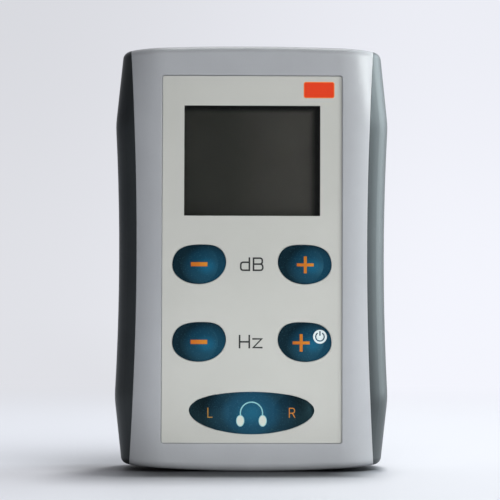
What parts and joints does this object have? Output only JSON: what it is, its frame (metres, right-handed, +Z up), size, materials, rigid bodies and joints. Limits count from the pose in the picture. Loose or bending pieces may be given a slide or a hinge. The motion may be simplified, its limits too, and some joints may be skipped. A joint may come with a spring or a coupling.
{
  "type": "handheld audiometer",
  "caption": "Handheld audiometer with soft side grips, a small display, membrane keys for level, frequency and ear, a headphone socket and a hinged battery door.",
  "frame": {"origin": "on the ground, in the middle of the foot that it stands on", "axes": "+Z up along the case, +Y from the face to the back, +X to the user's right"},
  "size_m": [0.0792, 0.03, 0.122],
  "materials": {
    "shell_silver": "fine satin silver-grey ABS",
    "grip_rubber": "satin soft-touch grip",
    "film_ivory": "printed polyester film, velvet finish",
    "window_clear": "clear acrylic",
    "key_blue": "embossed printed polyester",
    "plunger_white": "natural acetal",
    "lcd_dark": "unlit liquid-crystal glass with polariser",
    "guide_clear": "frosted acrylic",
    "strip_rubber": "layered conductive silicone",
    "frame_black": "fine texture",
    "board_green": "solder mask",
    "part_black": "moulded package",
    "part_pale": "sintered chip part",
    "contact_steel": "nickel-plated",
    "contact_brass": "plated spring brass",
    "coil_ferrite": "ferrite",
    "can_aluminium": "bright can",
    "screw_steel": "zinc-plated",
    "cell_sleeve": "plain printed sleeve, bare ends"
  },
  "bodies": {
    "root": {"front_shell": "shell_silver", "rear_shell": "shell_silver", "front_grip_left": "grip_rubber", "front_grip_right": "grip_rubber", "rear_grip_left": "grip_rubber", "rear_grip_right": "grip_rubber", "case_screws": "screw_steel", "board_screws": "screw_steel", "overlay_film": "film_ivory", "display_window": "window_clear", "lcd_glass": "lcd_dark", "lcd_light_guide": "guide_clear", "lcd_contact_strips": "strip_rubber", "lcd_frame": "frame_black", "main_board": "board_green", "switch_bodies": "part_black", "switch_domes": "contact_steel", "microcontroller": "part_black", "tone_generator": "part_black", "headphone_amplifier": "part_black", "clock_crystal": "contact_steel", "step_up_coil": "coil_ferrite", "storage_capacitors": "can_aluminium", "chip_parts": "part_pale", "headphone_socket": "part_black", "socket_contacts": "contact_brass", "battery_cell_left": "cell_sleeve", "battery_cell_right": "cell_sleeve", "battery_springs": "contact_steel", "battery_link_plate": "contact_steel", "battery_end_plates": "contact_steel"},
    "battery_door": {"battery_door": "shell_silver"},
    "key_level_down": {"key_level_down": "key_blue", "plunger_level_down": "plunger_white"},
    "key_level_up": {"key_level_up": "key_blue", "plunger_level_up": "plunger_white"},
    "key_pitch_down": {"key_pitch_down": "key_blue", "plunger_pitch_down": "plunger_white"},
    "key_pitch_up": {"key_pitch_up": "key_blue", "plunger_pitch_up": "plunger_white"},
    "key_left_ear": {"key_left_ear": "key_blue", "plunger_left_ear": "plunger_white"},
    "key_right_ear": {"key_right_ear": "key_blue", "plunger_right_ear": "plunger_white"}
  },
  "joints": [
    {"name": "level_down_press", "type": "slide", "parent": "root", "child": "key_level_down", "axis": [0, 1, 0], "range_m": [0, 0.00035], "stiffness_N_per_m": 2000},
    {"name": "level_up_press", "type": "slide", "parent": "root", "child": "key_level_up", "axis": [0, 1, 0], "range_m": [0, 0.00035], "stiffness_N_per_m": 2000},
    {"name": "pitch_down_press", "type": "slide", "parent": "root", "child": "key_pitch_down", "axis": [0, 1, 0], "range_m": [0, 0.00035], "stiffness_N_per_m": 2000},
    {"name": "pitch_up_press", "type": "slide", "parent": "root", "child": "key_pitch_up", "axis": [0, 1, 0], "range_m": [0, 0.00035], "stiffness_N_per_m": 2000},
    {"name": "left_ear_press", "type": "slide", "parent": "root", "child": "key_left_ear", "axis": [0, 1, 0], "range_m": [0, 0.00035], "stiffness_N_per_m": 2000},
    {"name": "right_ear_press", "type": "slide", "parent": "root", "child": "key_right_ear", "axis": [0, 1, 0], "range_m": [0, 0.00035], "stiffness_N_per_m": 2000},
    {"name": "battery_door_hinge", "type": "hinge", "parent": "root", "child": "battery_door", "pos_m": [0, 0.0138, 0.0096], "axis": [-1, 0, 0], "range_deg": [0, 85]}
  ]
}
